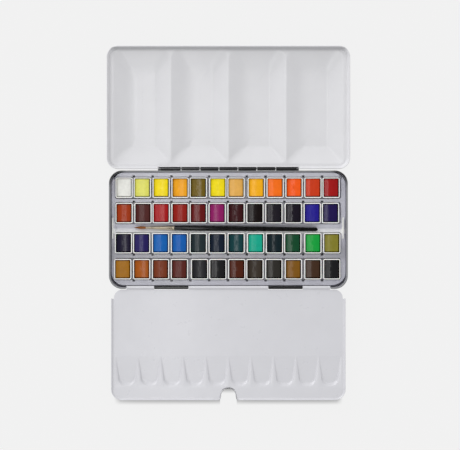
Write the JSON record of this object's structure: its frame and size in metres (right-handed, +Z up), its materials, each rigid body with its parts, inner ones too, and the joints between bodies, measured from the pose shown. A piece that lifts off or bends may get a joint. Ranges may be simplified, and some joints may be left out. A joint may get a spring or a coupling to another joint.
{
  "type": "watercolour paint box",
  "caption": "Hinged metal watercolour box lying open: mixing lid, fold-out palette flap, lift-out rack of half pans and a brush.",
  "frame": {"origin": "on the table, under the middle of the open box", "axes": "+X to the right along the hinges, +Y from the mixing flap to the lid, +Z up"},
  "size_m": [0.2256, 0.328, 0.0159],
  "materials": {
    "black_lacquer": "satin black lacquer on tinplate",
    "white_lacquer": "glossy white lacquer on tinplate",
    "pin_steel": "drawn wire",
    "pan_plastic": "moulded white plastic",
    "ferrule_metal": "polished pale metal",
    "handle_lacquer": "glossy black lacquered wood",
    "hair": "fine brown hair",
    "paint_white": "dried watercolour",
    "paint_lemon_yellow": "dried watercolour",
    "paint_primary_yellow": "dried watercolour",
    "paint_amber_yellow": "dried watercolour",
    "paint_olive_gold": "dried watercolour",
    "paint_bright_yellow": "dried watercolour",
    "paint_naples_yellow": "dried watercolour",
    "paint_golden_yellow": "dried watercolour",
    "paint_light_orange": "dried watercolour",
    "paint_deep_orange": "dried watercolour",
    "paint_brick_red": "dried watercolour",
    "paint_deep_red": "dried watercolour",
    "paint_burnt_orange": "dried watercolour",
    "paint_maroon_brown": "dried watercolour",
    "paint_scarlet_red": "dried watercolour",
    "paint_brownish_red": "dried watercolour",
    "paint_oxide_red": "dried watercolour",
    "paint_magenta": "dried watercolour",
    "paint_deep_maroon": "dried watercolour",
    "paint_brown_black": "dried watercolour",
    "paint_violet_black": "dried watercolour",
    "paint_deep_violet": "dried watercolour",
    "paint_ultramarine": "dried watercolour",
    "paint_indigo_violet": "dried watercolour",
    "paint_night_violet": "dried watercolour",
    "paint_blue_violet": "dried watercolour",
    "paint_azure_blue": "dried watercolour",
    "paint_cobalt_blue": "dried watercolour",
    "paint_slate_green": "dried watercolour",
    "paint_blue_black": "dried watercolour",
    "paint_dark_teal": "dried watercolour",
    "paint_turquoise": "dried watercolour",
    "paint_teal_black": "dried watercolour",
    "paint_forest_green": "dried watercolour",
    "paint_bright_green": "dried watercolour",
    "paint_olive_green": "dried watercolour",
    "paint_yellow_ochre": "dried watercolour",
    "paint_raw_sienna": "dried watercolour",
    "paint_burnt_sienna": "dried watercolour",
    "paint_reddish_brown": "dried watercolour",
    "paint_charcoal_grey": "dried watercolour",
    "paint_neutral_black": "dried watercolour",
    "paint_mahogany_brown": "dried watercolour",
    "paint_umber_grey": "dried watercolour",
    "paint_dark_grey": "dried watercolour",
    "paint_ochre_brown": "dried watercolour",
    "paint_raw_umber": "dried watercolour",
    "paint_ivory_black": "dried watercolour"
  },
  "bodies": {
    "base": {"base_tray": "black_lacquer", "lid_hinge_pin": "pin_steel", "flap_hinge_pin": "pin_steel", "ring_strap": "black_lacquer"},
    "lid": {"lid": "white_lacquer"},
    "flap": {"mixing_flap": "white_lacquer"},
    "rack": {"pan_rack": "white_lacquer"},
    "brush": {"brush_hair": "hair", "brush_ferrule": "ferrule_metal", "brush_handle": "handle_lacquer"},
    "ring": {"thumb_ring": "black_lacquer"},
    "pan_white": {"pan_white": "paint_white"},
    "pan_lemon_yellow": {"pan_lemon_yellow": "paint_lemon_yellow"},
    "pan_primary_yellow": {"pan_primary_yellow": "paint_primary_yellow"},
    "pan_amber_yellow": {"pan_amber_yellow": "paint_amber_yellow"},
    "pan_olive_gold": {"pan_olive_gold": "paint_olive_gold"},
    "pan_bright_yellow": {"pan_bright_yellow": "paint_bright_yellow"},
    "pan_naples_yellow": {"pan_naples_yellow": "paint_naples_yellow"},
    "pan_golden_yellow": {"pan_golden_yellow": "paint_golden_yellow"},
    "pan_light_orange": {"pan_light_orange": "paint_light_orange"},
    "pan_deep_orange": {"pan_deep_orange": "paint_deep_orange"},
    "pan_brick_red": {"pan_brick_red": "paint_brick_red"},
    "pan_deep_red": {"pan_deep_red": "paint_deep_red"},
    "pan_burnt_orange": {"pan_burnt_orange": "paint_burnt_orange"},
    "pan_maroon_brown": {"pan_maroon_brown": "paint_maroon_brown"},
    "pan_scarlet_red": {"pan_scarlet_red": "paint_scarlet_red"},
    "pan_brownish_red": {"pan_brownish_red": "paint_brownish_red"},
    "pan_oxide_red": {"pan_oxide_red": "paint_oxide_red"},
    "pan_magenta": {"pan_magenta": "paint_magenta"},
    "pan_deep_maroon": {"pan_deep_maroon": "paint_deep_maroon"},
    "pan_brown_black": {"pan_brown_black": "paint_brown_black"},
    "pan_violet_black": {"pan_violet_black": "paint_violet_black"},
    "pan_deep_violet": {"pan_deep_violet": "paint_deep_violet"},
    "pan_ultramarine": {"pan_ultramarine": "paint_ultramarine"},
    "pan_indigo_violet": {"pan_indigo_violet": "paint_indigo_violet"},
    "pan_night_violet": {"pan_night_violet": "paint_night_violet"},
    "pan_blue_violet": {"pan_blue_violet": "paint_blue_violet"},
    "pan_azure_blue": {"pan_azure_blue": "paint_azure_blue"},
    "pan_cobalt_blue": {"pan_cobalt_blue": "paint_cobalt_blue"},
    "pan_slate_green": {"pan_slate_green": "paint_slate_green"},
    "pan_blue_black": {"pan_blue_black": "paint_blue_black"},
    "pan_dark_teal": {"pan_dark_teal": "paint_dark_teal"},
    "pan_turquoise": {"pan_turquoise": "paint_turquoise"},
    "pan_teal_black": {"pan_teal_black": "paint_teal_black"},
    "pan_forest_green": {"pan_forest_green": "paint_forest_green"},
    "pan_bright_green": {"pan_bright_green": "paint_bright_green"},
    "pan_olive_green": {"pan_olive_green": "paint_olive_green"},
    "pan_yellow_ochre": {"pan_yellow_ochre": "paint_yellow_ochre"},
    "pan_raw_sienna": {"pan_raw_sienna": "paint_raw_sienna"},
    "pan_burnt_sienna": {"pan_burnt_sienna": "paint_burnt_sienna"},
    "pan_reddish_brown": {"pan_reddish_brown": "paint_reddish_brown"},
    "pan_charcoal_grey": {"pan_charcoal_grey": "paint_charcoal_grey"},
    "pan_neutral_black": {"pan_neutral_black": "paint_neutral_black"},
    "pan_mahogany_brown": {"pan_mahogany_brown": "paint_mahogany_brown"},
    "pan_umber_grey": {"pan_umber_grey": "paint_umber_grey"},
    "pan_dark_grey": {"pan_dark_grey": "paint_dark_grey"},
    "pan_ochre_brown": {"pan_ochre_brown": "paint_ochre_brown"},
    "pan_raw_umber": {"pan_raw_umber": "paint_raw_umber"},
    "pan_ivory_black": {"pan_ivory_black": "paint_ivory_black"}
  },
  "joints": [
    {"name": "lid_hinge", "type": "hinge", "parent": "base", "child": "lid", "pos_m": [0, 0.05015, 0.0143], "axis": [-1, 0, 0], "range_deg": [-180, 0]},
    {"name": "flap_hinge", "type": "hinge", "parent": "base", "child": "flap", "pos_m": [0, -0.05985, 0.0135], "axis": [1, 0, 0], "range_deg": [-180, 0]},
    {"name": "rack_lift", "type": "slide", "parent": "base", "child": "rack", "axis": [0, 0, 1], "range_m": [0, 0.03]},
    {"name": "brush_lift", "type": "slide", "parent": "rack", "child": "brush", "axis": [0, 0, 1], "range_m": [0, 0.03]},
    {"name": "ring_hinge", "type": "hinge", "parent": "base", "child": "ring", "pos_m": [0, 0.00565, 0.00135], "axis": [1, 0, 0], "range_deg": [0, 105]},
    {"name": "lift_white", "type": "slide", "parent": "rack", "child": "pan_white", "axis": [0, 0, 1], "range_m": [0, 0.015]},
    {"name": "lift_lemon_yellow", "type": "slide", "parent": "rack", "child": "pan_lemon_yellow", "axis": [0, 0, 1], "range_m": [0, 0.015]},
    {"name": "lift_primary_yellow", "type": "slide", "parent": "rack", "child": "pan_primary_yellow", "axis": [0, 0, 1], "range_m": [0, 0.015]},
    {"name": "lift_amber_yellow", "type": "slide", "parent": "rack", "child": "pan_amber_yellow", "axis": [0, 0, 1], "range_m": [0, 0.015]},
    {"name": "lift_olive_gold", "type": "slide", "parent": "rack", "child": "pan_olive_gold", "axis": [0, 0, 1], "range_m": [0, 0.015]},
    {"name": "lift_bright_yellow", "type": "slide", "parent": "rack", "child": "pan_bright_yellow", "axis": [0, 0, 1], "range_m": [0, 0.015]},
    {"name": "lift_naples_yellow", "type": "slide", "parent": "rack", "child": "pan_naples_yellow", "axis": [0, 0, 1], "range_m": [0, 0.015]},
    {"name": "lift_golden_yellow", "type": "slide", "parent": "rack", "child": "pan_golden_yellow", "axis": [0, 0, 1], "range_m": [0, 0.015]},
    {"name": "lift_light_orange", "type": "slide", "parent": "rack", "child": "pan_light_orange", "axis": [0, 0, 1], "range_m": [0, 0.015]},
    {"name": "lift_deep_orange", "type": "slide", "parent": "rack", "child": "pan_deep_orange", "axis": [0, 0, 1], "range_m": [0, 0.015]},
    {"name": "lift_brick_red", "type": "slide", "parent": "rack", "child": "pan_brick_red", "axis": [0, 0, 1], "range_m": [0, 0.015]},
    {"name": "lift_deep_red", "type": "slide", "parent": "rack", "child": "pan_deep_red", "axis": [0, 0, 1], "range_m": [0, 0.015]},
    {"name": "lift_burnt_orange", "type": "slide", "parent": "rack", "child": "pan_burnt_orange", "axis": [0, 0, 1], "range_m": [0, 0.015]},
    {"name": "lift_maroon_brown", "type": "slide", "parent": "rack", "child": "pan_maroon_brown", "axis": [0, 0, 1], "range_m": [0, 0.015]},
    {"name": "lift_scarlet_red", "type": "slide", "parent": "rack", "child": "pan_scarlet_red", "axis": [0, 0, 1], "range_m": [0, 0.015]},
    {"name": "lift_brownish_red", "type": "slide", "parent": "rack", "child": "pan_brownish_red", "axis": [0, 0, 1], "range_m": [0, 0.015]},
    {"name": "lift_oxide_red", "type": "slide", "parent": "rack", "child": "pan_oxide_red", "axis": [0, 0, 1], "range_m": [0, 0.015]},
    {"name": "lift_magenta", "type": "slide", "parent": "rack", "child": "pan_magenta", "axis": [0, 0, 1], "range_m": [0, 0.015]},
    {"name": "lift_deep_maroon", "type": "slide", "parent": "rack", "child": "pan_deep_maroon", "axis": [0, 0, 1], "range_m": [0, 0.015]},
    {"name": "lift_brown_black", "type": "slide", "parent": "rack", "child": "pan_brown_black", "axis": [0, 0, 1], "range_m": [0, 0.015]},
    {"name": "lift_violet_black", "type": "slide", "parent": "rack", "child": "pan_violet_black", "axis": [0, 0, 1], "range_m": [0, 0.015]},
    {"name": "lift_deep_violet", "type": "slide", "parent": "rack", "child": "pan_deep_violet", "axis": [0, 0, 1], "range_m": [0, 0.015]},
    {"name": "lift_ultramarine", "type": "slide", "parent": "rack", "child": "pan_ultramarine", "axis": [0, 0, 1], "range_m": [0, 0.015]},
    {"name": "lift_indigo_violet", "type": "slide", "parent": "rack", "child": "pan_indigo_violet", "axis": [0, 0, 1], "range_m": [0, 0.015]},
    {"name": "lift_night_violet", "type": "slide", "parent": "rack", "child": "pan_night_violet", "axis": [0, 0, 1], "range_m": [0, 0.015]},
    {"name": "lift_blue_violet", "type": "slide", "parent": "rack", "child": "pan_blue_violet", "axis": [0, 0, 1], "range_m": [0, 0.015]},
    {"name": "lift_azure_blue", "type": "slide", "parent": "rack", "child": "pan_azure_blue", "axis": [0, 0, 1], "range_m": [0, 0.015]},
    {"name": "lift_cobalt_blue", "type": "slide", "parent": "rack", "child": "pan_cobalt_blue", "axis": [0, 0, 1], "range_m": [0, 0.015]},
    {"name": "lift_slate_green", "type": "slide", "parent": "rack", "child": "pan_slate_green", "axis": [0, 0, 1], "range_m": [0, 0.015]},
    {"name": "lift_blue_black", "type": "slide", "parent": "rack", "child": "pan_blue_black", "axis": [0, 0, 1], "range_m": [0, 0.015]},
    {"name": "lift_dark_teal", "type": "slide", "parent": "rack", "child": "pan_dark_teal", "axis": [0, 0, 1], "range_m": [0, 0.015]},
    {"name": "lift_turquoise", "type": "slide", "parent": "rack", "child": "pan_turquoise", "axis": [0, 0, 1], "range_m": [0, 0.015]},
    {"name": "lift_teal_black", "type": "slide", "parent": "rack", "child": "pan_teal_black", "axis": [0, 0, 1], "range_m": [0, 0.015]},
    {"name": "lift_forest_green", "type": "slide", "parent": "rack", "child": "pan_forest_green", "axis": [0, 0, 1], "range_m": [0, 0.015]},
    {"name": "lift_bright_green", "type": "slide", "parent": "rack", "child": "pan_bright_green", "axis": [0, 0, 1], "range_m": [0, 0.015]},
    {"name": "lift_olive_green", "type": "slide", "parent": "rack", "child": "pan_olive_green", "axis": [0, 0, 1], "range_m": [0, 0.015]},
    {"name": "lift_yellow_ochre", "type": "slide", "parent": "rack", "child": "pan_yellow_ochre", "axis": [0, 0, 1], "range_m": [0, 0.015]},
    {"name": "lift_raw_sienna", "type": "slide", "parent": "rack", "child": "pan_raw_sienna", "axis": [0, 0, 1], "range_m": [0, 0.015]},
    {"name": "lift_burnt_sienna", "type": "slide", "parent": "rack", "child": "pan_burnt_sienna", "axis": [0, 0, 1], "range_m": [0, 0.015]},
    {"name": "lift_reddish_brown", "type": "slide", "parent": "rack", "child": "pan_reddish_brown", "axis": [0, 0, 1], "range_m": [0, 0.015]},
    {"name": "lift_charcoal_grey", "type": "slide", "parent": "rack", "child": "pan_charcoal_grey", "axis": [0, 0, 1], "range_m": [0, 0.015]},
    {"name": "lift_neutral_black", "type": "slide", "parent": "rack", "child": "pan_neutral_black", "axis": [0, 0, 1], "range_m": [0, 0.015]},
    {"name": "lift_mahogany_brown", "type": "slide", "parent": "rack", "child": "pan_mahogany_brown", "axis": [0, 0, 1], "range_m": [0, 0.015]},
    {"name": "lift_umber_grey", "type": "slide", "parent": "rack", "child": "pan_umber_grey", "axis": [0, 0, 1], "range_m": [0, 0.015]},
    {"name": "lift_dark_grey", "type": "slide", "parent": "rack", "child": "pan_dark_grey", "axis": [0, 0, 1], "range_m": [0, 0.015]},
    {"name": "lift_ochre_brown", "type": "slide", "parent": "rack", "child": "pan_ochre_brown", "axis": [0, 0, 1], "range_m": [0, 0.015]},
    {"name": "lift_raw_umber", "type": "slide", "parent": "rack", "child": "pan_raw_umber", "axis": [0, 0, 1], "range_m": [0, 0.015]},
    {"name": "lift_ivory_black", "type": "slide", "parent": "rack", "child": "pan_ivory_black", "axis": [0, 0, 1], "range_m": [0, 0.015]}
  ]
}
